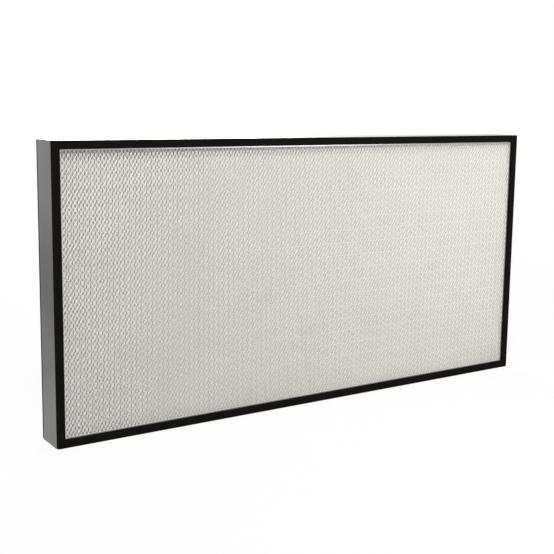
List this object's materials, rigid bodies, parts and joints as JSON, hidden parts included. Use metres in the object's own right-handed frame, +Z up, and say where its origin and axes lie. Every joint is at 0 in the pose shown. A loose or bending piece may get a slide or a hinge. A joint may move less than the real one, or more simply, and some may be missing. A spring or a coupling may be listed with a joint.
{
  "type": "hepa filter panel",
  "caption": "Upright air filter panel: pleated media potted in a mitred aluminium frame, with white expanded metal guards and black gaskets on both faces.",
  "frame": {"origin": "middle of the frame's bottom face, at mid-depth, where the panel stands", "axes": "+X along the panel, +Z up, the front face towards -Y"},
  "size_m": [1.17, 0.075, 0.57],
  "materials": {
    "frame_aluminium": "satin anodised extrusion",
    "key_aluminium": "as stamped",
    "guard_coating": "white powder coat on expanded steel",
    "media": "matt glass fibre sheet",
    "hot_melt": "cooled hot-melt bead",
    "sealant": "cast polyurethane",
    "gasket_rubber": "matt cellular rubber"
  },
  "bodies": {
    "root": {"frame_top": "frame_aluminium", "frame_bottom": "frame_aluminium", "frame_left": "frame_aluminium", "frame_right": "frame_aluminium", "front_corner_key_top_left": "key_aluminium", "front_corner_key_top_right": "key_aluminium", "front_corner_key_bottom_left": "key_aluminium", "front_corner_key_bottom_right": "key_aluminium", "rear_corner_key_top_left": "key_aluminium", "rear_corner_key_top_right": "key_aluminium", "rear_corner_key_bottom_left": "key_aluminium", "rear_corner_key_bottom_right": "key_aluminium", "front_guard": "guard_coating", "rear_guard": "guard_coating", "media_pack": "media", "front_separator_threads": "hot_melt", "rear_separator_threads": "hot_melt", "sealant_top": "sealant", "sealant_bottom": "sealant", "sealant_left": "sealant", "sealant_right": "sealant", "front_gasket": "gasket_rubber", "rear_gasket": "gasket_rubber"}
  },
  "joints": []
}
